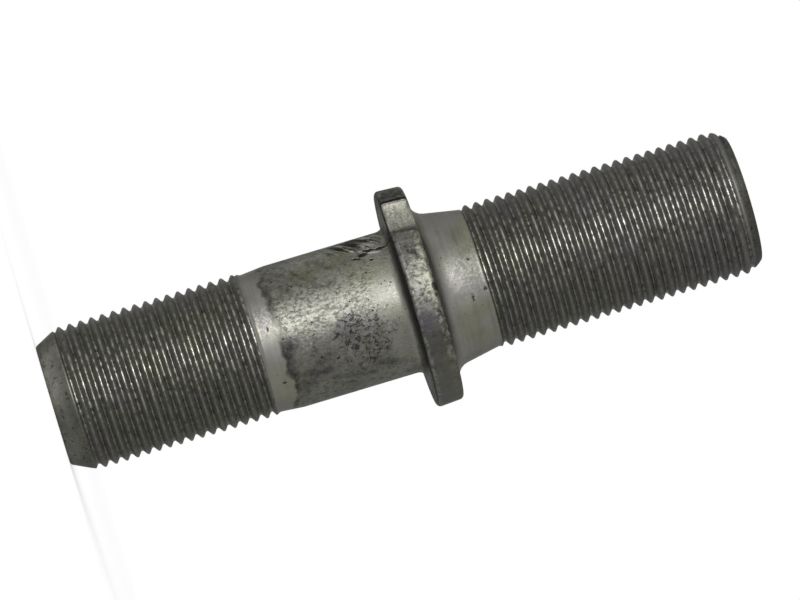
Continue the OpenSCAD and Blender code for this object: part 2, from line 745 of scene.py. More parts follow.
class Graph:
    """A material's node tree, in which nodes are made by one call each."""

    def __init__(self, tree: bpy.types.NodeTree) -> None:
        """Keeps the tree.

        Args:
            tree: the node tree to build in.
        """
        self.tree = tree

    @classmethod
    def of_material(cls, material: bpy.types.Material) -> "Graph":
        """The empty graph of a new material."""
        material.use_nodes = True
        material.node_tree.nodes.clear()
        return cls(material.node_tree)

    def node(self, kind: str, settings: dict | None = None, inputs: dict | None = None) -> bpy.types.Node:
        """Makes a node.

        Args:
            kind: the node's type.
            settings: its settings, which are set first.
            inputs: values or links by socket name or number.

        Returns:
            The node.
        """
        node = self.tree.nodes.new(kind)
        for name, value in (settings or {}).items():
            setattr(node, name, value)
        for name, value in (inputs or {}).items():
            if isinstance(value, Wire):
                self.tree.links.new(value.socket, node.inputs[name])
            elif isinstance(value, bpy.types.NodeSocket):
                self.tree.links.new(value, node.inputs[name])
            else:
                node.inputs[name].default_value = value
        return node

    def math(self, operation: str, *values: "Wire | float") -> Wire:
        """A sum of wires and numbers.

        Args:
            operation: the Math node's operation.
            values: its inputs in order.

        Returns:
            The result.
        """
        node = self.node("ShaderNodeMath", {"operation": operation}, dict(enumerate(values)))
        return Wire(self, node.outputs[0])

    def most(self, *values: Wire) -> Wire:
        """The largest of several wires."""
        top = values[0]
        for value in values[1:]:
            top = self.math("MAXIMUM", top, value)
        return top

    def blend(self, weight: Wire, first: "Wire | float", second: "Wire | float") -> Wire:
        """A number that is the first where the weight is 0 and the second where it is 1."""
        return self.math("MULTIPLY_ADD", weight, second - first, first)

    def mix(self, weight: Wire, first: "bpy.types.NodeSocket | tuple",
            second: "bpy.types.NodeSocket | tuple") -> bpy.types.NodeSocket:
        """Blends two colours.

        Args:
            weight: share of the second.
            first: a colour or a colour's socket.
            second: the same.

        Returns:
            The blended colour's socket.
        """
        node = self.node("ShaderNodeMix", {"data_type": "RGBA"}, {"Factor": weight, 6: first, 7: second})
        return node.outputs[2]

    def vector(self, operation: str, inputs: dict) -> bpy.types.NodeSocket:
        """A sum of vectors.

        Args:
            operation: the Vector Math node's operation.
            inputs: its inputs by number or name.

        Returns:
            The result's socket.
        """
        return self.node("ShaderNodeVectorMath", {"operation": operation}, inputs).outputs[0]


class Edge(Enum):
    """How coarse the ragged outline of a mark is: the size of its noise in millimetres."""

    COARSE = 1.6
    FINE = 0.7
    TINY = 0.24


class Place:
    """Where a point lies on the bolt, in millimetres and degrees, read from Object coordinates."""

    def __init__(self, graph: Graph, view: PhotoView, shank_r: float) -> None:
        """Builds the nodes that measure the place.

        Args:
            graph: the material's graph.
            view: the side of the bolt that angle 0 stands for.
            shank_r: radius at which the way round is measured, in millimetres.
        """
        self.graph = graph
        coordinates = graph.node("ShaderNodeTexCoord").outputs["Object"]
        self.point = graph.vector("SCALE", {0: coordinates, "Scale": 1 / MM})
        parts = graph.node("ShaderNodeSeparateXYZ", None, {0: self.point})
        x, y = Wire(graph, parts.outputs[0]), Wire(graph, parts.outputs[1])
        self.z = Wire(graph, parts.outputs[2])
        self.radius = graph.math("SQRT", x * x + y * y)
        ahead = x * view.toward.x + y * view.toward.y
        aside = x * view.below.x + y * view.below.y
        self.angle = graph.math("ARCTAN2", aside, ahead) * math.degrees(1.0)
        self.way_per_degree = math.radians(shank_r)
        self.way = self.angle * self.way_per_degree
        self.ragged = {edge: self.noise(edge.value, 2.0, 0.6, shift=edge.value) - 0.5 for edge in Edge}

    def noise(self, size: float, detail: float = 2.0, roughness: float = 0.55, warp: float = 0.0,
              stretch: tuple = (1.0, 1.0, 1.0), shift: float = 0.0,
              point: bpy.types.NodeSocket | None = None) -> Wire:
        """Cloudy noise from 0 to 1.

        Args:
            size: size of its largest features in millimetres.
            detail: how many finer layers it has.
            roughness: how strong those are.
            warp: how far it is distorted.
            stretch: how much longer the features are along each axis.
            shift: moves the pattern.
            point: coordinates other than the object's.

        Returns:
            The noise.
        """
        scale = [1.0 / (size * part) for part in stretch]
        moved = self.graph.node(
            "ShaderNodeMapping", None,
            {"Vector": point or self.point, "Scale": scale, "Location": (shift, shift, shift)},
        )
        node = self.graph.node(
            "ShaderNodeTexNoise", None,
            {"Vector": moved.outputs[0], "Scale": 1.0, "Detail": detail, "Roughness": roughness,
             "Distortion": warp},
        )
        return Wire(self.graph, node.outputs["Fac"])

    def turned(self, size: float, shift: float = 0.0) -> Wire:
        """Fine lines round the axis, on plain stretches and end faces alike.

        Args:
            size: spacing of the lines in millimetres.
            shift: moves the pattern.

        Returns:
            Noise from 0 to 1.
        """
        place = {0: self.radius, 1: self.z, 2: self.angle * 0.006}
        spun = self.graph.node("ShaderNodeCombineXYZ", None, place)
        return self.noise(size, 2.0, 0.6, shift=shift, point=spun.outputs[0])

    def strokes(self, slant: float, length: float, width: float, shift: float = 0.0) -> Wire:
        """Noise drawn out along a slanted line on the bolt's side.

        Args:
            slant: angle between the axis and the line, in degrees.
            length: length of a stroke in millimetres.
            width: width of a stroke.
            shift: moves the pattern.

        Returns:
            Noise from 0 to 1.
        """
        c, s = math.cos(math.radians(slant)), math.sin(math.radians(slant))
        along = self.z * c + self.way * s
        across = self.way * c - self.z * s
        laid = self.graph.node("ShaderNodeCombineXYZ", None, {0: along / length, 1: across / width})
        return self.noise(1.0, 3.0, 0.6, 0.6, shift=shift, point=laid.outputs[0])

    def marks(self, patches: tuple) -> Wire:
        """The weight of several marks together, which is that of the strongest."""
        return self.graph.most(*(patch.weight(self) for patch in patches))


@dataclass(frozen=True)
class Patch:
    """A mark of ragged outline on one side of the bolt: an ellipse of height and way round.

    Its place is a height and an angle; its half sizes are millimetres along and degrees across, and
    the slant turns the long way from the axis towards rising angles.
    """

    z: float
    angle: float
    half_length: float
    half_angle: float
    ragged: float = 0.5
    soft: float = 0.15
    edge: Edge = Edge.COARSE
    slant: float = 0.0

    def weight(self, place: Place) -> Wire:
        """The mark's weight, 1 inside and 0 outside, with an edge that noise breaks up.

        Args:
            place: where a point lies.

        Returns:
            The weight.
        """
        up, round_way = place.z - self.z, place.angle - self.angle
        if self.slant:
            c, s = math.cos(math.radians(self.slant)), math.sin(math.radians(self.slant))
            per_degree = place.way_per_degree
            up, round_way = up * c + round_way * (s * per_degree), round_way * c - up * (s / per_degree)
        along, across = up / self.half_length, round_way / self.half_angle
        distance = place.graph.math("SQRT", along * along + across * across)
        distance = distance + place.ragged[self.edge] * (2.0 * self.ragged)
        return distance.rise(1.0 + self.soft, 1.0 - self.soft)


class Tint(Enum):
    """Hues of the steel, each to be scaled by how bright the place is."""

    STEEL = (1.01, 1.0, 0.87, 1.0)
    OLIVE = (1.0, 1.01, 0.70, 1.0)
    VIOLET = (1.08, 0.99, 1.12, 1.0)


@dataclass
class Layer:
    """What a finish gives at each point: brightness, tints, roughness and height in millimetres."""

    value: "Wire | float"
    roughness: "Wire | float"
    height: "Wire | float"
    olive: "Wire | float" = 0.0
    violet: "Wire | float" = 0.0

    def under(self, graph: Graph, weight: Wire, other: "Layer") -> "Layer":
        """Lays another finish over this one.

        Args:
            graph: the material's graph.
            weight: where the other shows.
            other: the finish on top.

        Returns:
            The two together.
        """
        return Layer(
            graph.blend(weight, self.value, other.value),
            graph.blend(weight, self.roughness, other.roughness),
            graph.blend(weight, self.height, other.height),
            graph.blend(weight, self.olive, other.olive),
            graph.blend(weight, self.violet, other.violet),
        )


@dataclass(frozen=True)
class ThreadFinish:
    """Dark phosphated steel of the threads, rubbed here and there along the crests, with painted highlight
    and shade.
    """

    crest: float = 0.076
    # Flank value, lifted as painted light against the shade between the ridges.
    flank: float = 0.112
    rubbed: float = 0.105

    def layer(self, place: Place, crest_r: float) -> Layer:
        """Builds the finish.

        Args:
            place: where a point lies.
            crest_r: radius of the crests in millimetres.

        Returns:
            The layer.
        """
        graph = place.graph
        cloud = place.noise(5.5, 3.0, 0.5)
        grain = place.noise(0.26, 2.0, 0.75, shift=3.0)
        beads = place.noise(0.85, 1.5, 0.6, shift=9.0)
        crest = place.radius.rise(crest_r - 0.18, crest_r - 0.08)
        root = place.radius.rise(crest_r - 0.58, crest_r - 0.68)
        line = graph.most(crest, root)
        # Painted light: flanks are lighter than crests and roots, against the shade between the ridges.
        value = graph.blend(line, self.flank, self.crest * 1.12)
        value = (grain * 1.3 + 0.33) * value
        # Painted highlight: the rubbed lines are lighter on the side towards the lamp, over rubbing that
        # shows all round.
        lamp_side = place.angle.band(-28.0, 4.0, 28.0) * 0.85 + 0.30
        value = value + (line + root * 0.25) * beads.rise(0.42, 0.66) * lamp_side * self.rubbed
        value = value * (1.0 - beads.rise(0.45, 0.30) * (line * 0.30 + 0.08))
        # Painted shade: darker towards the lower side.
        value = value * (1.0 - place.angle.rise(16.0, 46.0) * 0.13)
        rough = graph.blend(line, 0.56, 0.33) + (grain - 0.5) * 0.35
        return Layer(
            value, rough, grain * 0.05 + beads * line * 0.04,
            cloud.rise(0.48, 0.36) * 0.35, cloud.rise(0.50, 0.64) * 0.2 + place.z.rise(56.0, 96.0) * 0.3,
        )


@dataclass(frozen=True)
class EndFinish:
    """Plain turned steel of the end faces and their chamfers."""

    value: float = 0.108
    # Painted highlight on the side towards the lamp.
    sheen_side: float = 0.35
    pale: tuple = (Patch(0.9, -50.0, 1.1, 9.0, 0.8, 0.9), Patch(1.1, -18.0, 1.1, 16.0, 0.8, 0.9),
                   Patch(1.0, 48.0, 1.1, 14.0, 0.8, 0.9))
    # Painted shade over a wide band of the lower side.
    dull: Patch = Patch(2.5, 22.0, 1.1, 62.0, 0.5, 0.9)

    def layer(self, place: Place) -> Layer:
        """Builds the finish.

        Args:
            place: where a point lies.

        Returns:
            The layer.
        """
        cloud = place.noise(3.0, 4.0, 0.6, shift=43.0)
        lines = place.turned(0.3, 47.0)
        specks = place.noise(0.6, 2.0, 0.6, shift=53.0)
        grain = place.noise(0.35, 2.0, 0.7, shift=57.0)
        value = (cloud * 1.1 + 0.45) * (grain * 0.7 + 0.65) * self.value
        # Painted highlight: lighter on the side towards the lamp.
        value = value * (1.0 + place.angle.band(-45.0, -8.0, 30.0) * self.sheen_side)
        pale = place.marks(self.pale)
        # The dull band is painted shade, darkening the lower side.
        value = value * (1.0 + pale * 0.22 - self.dull.weight(place) * 0.34)
        value = value * (1.0 - lines.rise(0.55, 0.35) * 0.07)
        value = value * (1.0 - specks.rise(0.44, 0.30) * 0.5)
        return Layer(value, 0.48 + (cloud - 0.5) * 0.3, lines * 0.006 + cloud * 0.05 + specks * 0.03)


@dataclass(frozen=True)
class ForgedFinish:
    """Skin of the shank: pale pitted steel under dark scale, stains and torn scratches."""

    middle: float = 0.108
    pale: float = 0.160
    calm: float = 0.150
    upper_value: float = 0.150
    scale: float = 0.080
    black: float = 0.008
    # Angles over which the painted light on the limbs grows.
    lit_limbs: tuple = (45.0, 62.0)
    hidden_from: tuple = (80.0, 115.0)
    pitted: tuple = (Patch(36.0, -12.0, 6.0, 20.0, 0.35, 0.4), Patch(42.0, -14.0, 4.5, 16.0, 0.35, 0.4))
    smooth: Patch = Patch(47.6, 5.0, 3.2, 52.0, 0.25, 0.25)
    # Upper side, lighter partly as painted light.
    upper: Patch = Patch(42.0, -51.0, 9.0, 26.0, 0.35, 0.5)
    stain: Patch = Patch(42.1, 20.0, 3.6, 22.0, 0.9, 0.25)
    olive_patches: tuple = (
        Patch(36.3, -46.0, 2.2, 7.5, 1.1, 0.9),
        Patch(41.6, -52.0, 2.0, 9.0, 1.0, 0.9),
    )
    pale_olive: Patch = Patch(44.4, -31.0, 2.8, 10.0, 0.5, 0.8)
    low_scale: Patch = Patch(38.0, 56.0, 8.0, 22.0, 0.6, 0.5)
    violet_patches: tuple = (Patch(32.4, 8.0, 1.3, 5.5, 1.2, 0.8), Patch(39.8, 9.0, 1.0, 7.0, 1.0, 0.8))
    torn: Patch = Patch(44.4, -69.0, 3.8, 14.0, 0.3, 0.2)
    edge_shades: tuple = (
        Patch(31.6, 26.0, 0.75, 20.0, 0.5, 0.6),
        Patch(31.3, -32.0, 0.5, 14.0, 0.6, 0.6),
        Patch(33.2, 44.0, 1.3, 5.0, 1.2, 0.8),
        Patch(35.8, 37.0, 2.0, 3.6, 1.3, 0.8),
        Patch(32.2, 9.0, 0.8, 4.5, 1.3, 0.6, Edge.FINE),
    )
    strokes: tuple = (
        Patch(42.0, -68.5, 2.1, 1.6, 0.7, 0.3, Edge.FINE, 54.0),
        Patch(44.1, -66.0, 1.5, 2.4, 0.8, 0.3, Edge.FINE, 53.0),
        Patch(44.9, -75.5, 1.9, 2.2, 0.8, 0.3, Edge.FINE, 58.0),
        Patch(46.4, -51.5, 1.1, 1.7, 1.5, 0.4, Edge.FINE, 12.0),
        Patch(48.0, -50.5, 0.8, 1.3, 1.5, 0.4, Edge.FINE, -8.0),
        Patch(46.45, -67.5, 1.2, 0.8, 0.7, 0.4, Edge.FINE, 48.0),
        Patch(44.95, -48.6, 0.6, 2.1, 0.9, 0.3, Edge.FINE),
        Patch(44.0, -45.8, 0.7, 1.0, 1.1, 0.4, Edge.FINE, 20.0),
        Patch(45.9, -41.0, 0.22, 1.4, 0.7, 0.4, Edge.FINE, 60.0),
        Patch(45.6, -70.0, 1.3, 1.9, 0.9, 0.3, Edge.FINE, 55.0),
        Patch(43.0, -75.0, 1.6, 1.5, 0.8, 0.3, Edge.FINE, 56.0),
    )
    drags: tuple = (
        Patch(33.8, -52.0, 2.2, 2.6, 1.0, 0.9, Edge.FINE, 50.0),
        Patch(36.3, -43.0, 2.4, 2.2, 1.0, 0.9, Edge.FINE, 52.0),
        Patch(33.6, -37.0, 1.8, 1.9, 1.0, 0.9, Edge.FINE, 45.0),
        Patch(38.8, -56.0, 1.6, 2.4, 1.0, 0.9, Edge.FINE, 48.0),
        Patch(35.0, 31.0, 2.2, 2.4, 1.2, 0.9, Edge.FINE, -20.0),
        Patch(39.0, 50.0, 2.6, 2.8, 1.2, 0.9, Edge.FINE, 15.0),
        Patch(44.6, 48.0, 1.8, 3.0, 1.2, 0.9, Edge.FINE, 20.0),
        Patch(34.9, -39.0, 2.6, 1.7, 1.3, 0.9, Edge.FINE, 12.0),
        Patch(32.6, -50.0, 1.4, 2.6, 1.3, 0.9, Edge.FINE, 30.0),
        Patch(37.6, -35.0, 1.7, 1.5, 1.2, 0.9, Edge.FINE, 40.0),
    )
    glints: tuple = (
        Patch(42.7, -66.5, 1.2, 1.3, 0.6, 0.4, Edge.FINE, 57.0),
        Patch(44.85, -53.5, 0.35, 0.9, 0.5, 0.4, Edge.FINE),
        Patch(43.6, -58.0, 0.7, 1.2, 0.7, 0.4, Edge.FINE, 60.0),
        Patch(46.4, -48.0, 0.8, 0.9, 1.0, 0.4, Edge.FINE, 12.0),
        Patch(46.2, -74.5, 1.2, 1.6, 0.7, 0.4, Edge.FINE, 50.0),
    )

    def layer(self, place: Place) -> Layer:
        """Builds the finish.

        Args:
            place: where a point lies.

        Returns:
            The layer.
        """
        graph = place.graph
        hidden = abs(place.angle).rise(*self.hidden_from)
        wide = place.noise(7.0, 2.0, 0.55, shift=61.0)
        cloud = place.noise(2.6, 3.0, 0.6, shift=5.0)
        mottle = place.noise(0.34, 2.0, 0.6, 0.3, (1.0, 1.0, 1.6), 1.0)
        blots = place.noise(0.85, 2.0, 0.6, shift=6.0)
        grain = place.noise(0.20, 1.0, 0.7, shift=15.0)
        pitted = graph.most(place.marks(self.pitted), hidden * wide.rise(0.52, 0.62))
        calm = self.smooth.weight(place)
        stain = graph.most(self.stain.weight(place), hidden * wide.rise(0.45, 0.38))
        value = graph.blend(cloud, self.middle * 0.50, self.middle * 1.5)
        value = graph.blend(self.low_scale.weight(place) * 0.12, value, self.scale)
        # Partly painted light: the upper side is lighter, in cloudy patches.
        value = graph.blend(self.upper.weight(place), value, (cloud * 0.7 + 0.65) * self.upper_value)
        value = graph.blend(pitted, value, self.pale)
        value = graph.blend(calm, value, self.calm)
        # Painted light: lighter towards both limbs.
        value = value * (1.0 + abs(place.angle).rise(*self.lit_limbs) * 0.16)
        rough = 1.0 - calm * 0.7
        value = value * (1.0 - mottle.rise(0.62, 0.34) * rough * (pitted * 0.32 + 0.24))
        value = value * (1.0 - blots.rise(0.47, 0.33) * rough * 0.35)
        value = value * (1.0 + grain.rise(0.52, 0.75) * 0.4)
        pocks = place.noise(0.62, 2.0, 0.7, 0.4, shift=71.0)
        value = graph.blend(stain * 0.70, value, self.scale * 1.1)
        pock = pocks.rise(0.48, 0.38) * stain
        value = value * (1.0 - pock * 0.62) * (1.0 + pocks.rise(0.53, 0.60) * stain * 0.40)
        shades = place.marks(self.edge_shades)
        value = value * (1.0 - shades * 0.42)
        drags = place.marks(self.drags)
        value = value * (1.0 - drags * 0.30)
        torn = self.torn.weight(place)
        rakes = place.strokes(52.0, 3.0, 0.5, 3.0)
        gash = graph.most(rakes.rise(0.52, 0.44) * torn, place.marks(self.strokes))
        glint = graph.most(rakes.rise(0.53, 0.66) * torn * 0.5, place.marks(self.glints))
        value = value * (1.0 + glint * 1.3)
        value = graph.blend(gash * 0.9, value, self.black)
        holes = place.noise(0.6, 1.0, 0.6, 0.5, shift=79.0).rise(0.30, 0.24) * (1.0 - calm * 0.4)
        value = graph.blend(holes * 0.8, value, self.black)
        height = mottle * 0.028 * rough + blots * 0.04 * rough + grain * 0.012
        height = height - gash * 0.16 - pock * 0.05 - holes * 0.05
        stained = place.marks(self.violet_patches)
        violet = graph.most(stained * 0.5, stain * cloud.rise(0.5, 0.6) * 0.3, shades * cloud * 0.4)
        value = value * (1.0 - stained * 0.36)
        patch = place.marks(self.olive_patches)
        light = self.pale_olive.weight(place)
        olive = graph.most(patch * 0.8, light * 0.6, cloud.rise(0.48, 0.35) * 0.35)
        value = value * (1.0 - patch * 0.20 + light * 0.09)
        return Layer(value, 0.50 + (grain - 0.5) * 0.3, height, olive, violet)


@dataclass(frozen=True)
class SmoothFinish:
    """Turned steel of the neck and the runout, with faint lines round the axis and a few specks."""

    value: float = 0.150
    specks: tuple = (
        Patch(59.1, 9.6, 0.26, 1.7, 1.3, 0.4, Edge.TINY),
        Patch(57.2, 13.5, 0.17, 2.6, 1.6, 0.4, Edge.TINY),
        Patch(58.0, -16.5, 0.13, 0.9, 1.2, 0.4, Edge.TINY),
        Patch(30.0, -9.0, 0.14, 1.8, 1.2, 0.4, Edge.TINY),
        Patch(30.2, 38.0, 0.26, 1.2, 1.3, 0.4, Edge.TINY),
    )
    worn: tuple = (
        Patch(30.0, -16.0, 1.6, 13.0, 0.8, 0.4, Edge.FINE),
        Patch(57.9, -9.0, 2.4, 16.0, 1.2, 0.8, Edge.FINE),
    )
    # Painted highlight on the neck.
    painted_sheen: tuple = (Patch(56.0, 3.0, 1.5, 12.0, 0.5, 0.9), Patch(56.4, 9.0, 3.4, 10.0, 0.3, 0.7))
    shaded: tuple = (Patch(58.2, -12.0, 1.8, 17.0, 0.5, 0.7), Patch(57.2, -38.0, 0.20, 21.0, 1.4, 1.0),
                     Patch(55.3, -40.0, 0.26, 15.0, 1.6, 1.0), Patch(57.2, 27.0, 0.42, 14.0, 1.4, 1.0),
                     Patch(59.0, 38.0, 0.20, 18.0, 1.2, 1.0), Patch(54.4, -14.0, 0.36, 13.0, 1.6, 1.0))
    # Painted highlight on the runout.
    bright: Patch = Patch(30.0, -8.0, 1.9, 9.0, 0.6, 0.5)
    olive: tuple = (Patch(58.6, -34.0, 1.5, 22.0, 0.3, 0.4), Patch(56.8, 30.0, 2.4, 22.0, 0.4, 0.5),
                    Patch(30.2, 42.0, 1.6, 18.0, 0.4, 0.5))

    def layer(self, place: Place) -> Layer:
        """Builds the finish.

        Args:
            place: where a point lies.

        Returns:
            The layer.
        """
        graph = place.graph
        cloud = place.noise(3.2, 3.0, 0.5, shift=11.0)
        lines = place.turned(0.25, 2.0)
        mottle = place.noise(0.45, 3.0, 0.65, shift=12.0)
        dots = place.noise(0.36, 2.0, 0.6, shift=13.0).rise(0.30, 0.25)
        worn = place.marks(self.worn)
        value = (cloud * 0.5 + 0.75) * self.value
        wide_lines = place.turned(0.8, 5.0)
        value = value * (1.0 - lines.rise(0.55, 0.35) * 0.05) * ((wide_lines - 0.5) * 0.32 + 1.0)
        # Painted highlight: the neck is lightened and tinted violet where the lamp's highlight falls.
        painted_sheen = place.marks(self.painted_sheen)
        shaded = place.marks(self.shaded)
        # Painted highlight: the bright patch lightens the runout where the lamp's highlight falls.
        value = value * (1.0 + painted_sheen * 0.18 - shaded * 0.17 + self.bright.weight(place) * 0.12)
        value = value * (1.0 + worn * (mottle.rise(0.40, 0.62) * 0.45 - 0.18))
        spots = graph.most(dots, place.marks(self.specks))
        value = value * (1.0 - spots * 0.75)
        olive = place.marks(self.olive)
        violet = graph.most(cloud.rise(0.50, 0.64) * 0.30, painted_sheen * 0.35)
        height = lines * 0.003 + wide_lines * 0.006 + cloud * 0.07 + worn * mottle * 0.035 - spots * 0.04
        return Layer(value, 0.49 + (cloud - 0.5) * 0.25, height, olive * 0.6, violet)


@dataclass(frozen=True)
class RimFinish:
    """The collar's faces and rim: dull steel with rubbed flecks, a violet stain and axial scratches."""

    value: float = 0.084
    dark: float = 0.052
    rubbed: float = 0.165
    # Painted shade on the collar's lower face.
    seat_shade: float = 0.022
    smooth_value: float = 0.078
    violet_below: tuple = (51.2, 49.8)
    olive_above: tuple = (50.6, 52.0)
    stain: Patch = Patch(50.0, 13.0, 1.3, 7.5, 1.3, 0.9)
    flecked: Patch = Patch(51.6, -3.0, 1.6, 17.0, 0.5, 0.4)
    smooth: Patch = Patch(50.8, 60.0, 3.0, 30.0, 0.3, 0.4)
    low_side: Patch = Patch(50.6, 24.0, 2.6, 14.0, 0.7, 0.6)
    chip: Patch = Patch(52.5, -2.5, 0.4, 2.4, 0.6, 0.3, Edge.FINE)

    def layer(self, place: Place, seat_z: float, top_z: float, rim_r: float) -> Layer:
        """Builds the finish.

        Args:
            place: where a point lies.
            seat_z: height of the collar's lower face in millimetres.
            top_z: height of the rim's upper edge.
            rim_r: radius of the rim.

        Returns:
            The layer.
        """
        graph = place.graph
        hidden = abs(place.angle).rise(90.0, 120.0)
        cloud = place.noise(2.6, 4.0, 0.6, shift=17.0)
        scratches = place.noise(0.35, 3.0, 0.6, stretch=(1.0, 1.0, 6.0), shift=19.0)
        clumps = place.noise(0.75, 3.0, 0.65, shift=23.0)
        grain = place.noise(0.28, 2.0, 0.7, shift=27.0)
        smooth = self.smooth.weight(place)
        flecked = graph.most(self.flecked.weight(place), hidden * cloud.rise(0.5, 0.6))
        stain = self.stain.weight(place)
        value = graph.blend(cloud.rise(0.38, 0.60), self.dark * 1.2, self.value * 1.15)
        value = graph.blend(smooth * 0.7, value, self.smooth_value)
        value = value * (1.0 - scratches.rise(0.48, 0.32) * (1.0 - smooth) * 0.35)
        value = graph.blend(flecked * clumps.rise(0.44, 0.55), value, self.rubbed * 0.80)
        value = value * (1.0 - clumps.rise(0.46, 0.35) * (1.0 - smooth * 0.7) * 0.62)
        value = graph.blend(graph.most(stain * 0.85, self.low_side.weight(place) * 0.72), value, self.dark)
        upper_edge = place.z.band(top_z - 0.9, top_z - 0.1, 0.3)
        upper_edge = upper_edge * place.radius.rise(rim_r - 1.2, rim_r - 0.5)
        lower_edge = place.z.band(seat_z + 0.2, seat_z + 0.55, 0.25)
        lower_edge = lower_edge * place.radius.rise(rim_r - 0.8, rim_r - 0.2)
        worn = graph.most(upper_edge * clumps.rise(0.48, 0.60) * (1.0 - smooth * 0.8),
                          lower_edge * clumps.rise(0.45, 0.58) * 0.6)
        value = graph.blend(worn * 0.8, value, self.rubbed)
        value = value * (1.0 + grain.rise(0.55, 0.72) * 0.3)
        value = value * (1.0 - self.chip.weight(place) * 0.8)
        # Painted shade: the collar's lower face is painted nearly black.
        value = graph.blend(place.z.rise(seat_z + 0.32, seat_z + 0.08) * 0.85, value, self.seat_shade)
        violet = graph.most(stain * 0.8, place.z.rise(*self.violet_below) * cloud.rise(0.45, 0.6) * 0.4)
        olive = place.z.rise(*self.olive_above) * 0.3
        height = grain * 0.025 + clumps * 0.06 * (1.0 - smooth * 0.6) + scratches * 0.03
        return Layer(value, 0.50 + (grain - 0.5) * 0.3, height, olive, violet * 0.9)


@dataclass(frozen=True)
class NotchFinish:
    """The notch's floor: bare bright metal, shaded towards its lower end."""

    top: float = 0.150
    value: float = 0.245
    upper_end: tuple = (-60.0, -49.0)
    lower_end: tuple = (-45.5, -38.5)

    def layer(self, place: Place) -> Layer:
        """Builds the finish.

        Args:
            place: where a point lies.

        Returns:
            The layer.
        """
        grain = place.noise(0.30, 2.0, 0.7, shift=31.0)
        lines = place.turned(0.45, 33.0)
        cloud = place.noise(1.6, 2.0, 0.55, shift=29.0)
        value = place.graph.blend(place.angle.rise(*self.upper_end), self.top, self.value)
        value = (cloud * 0.5 + 0.75) * value
        value = value * (1.0 - lines.rise(0.54, 0.38) * 0.3) * (1.0 + grain.rise(0.50, 0.70) * 0.45)
        value = value * (1.0 - grain.rise(0.42, 0.30) * 0.4)
        value = value * (1.0 - place.angle.rise(*self.lower_end) * 0.62)
        return Layer(value, 0.52 + (grain - 0.5) * 0.2, grain * 0.04 + lines * 0.02, 0.15)


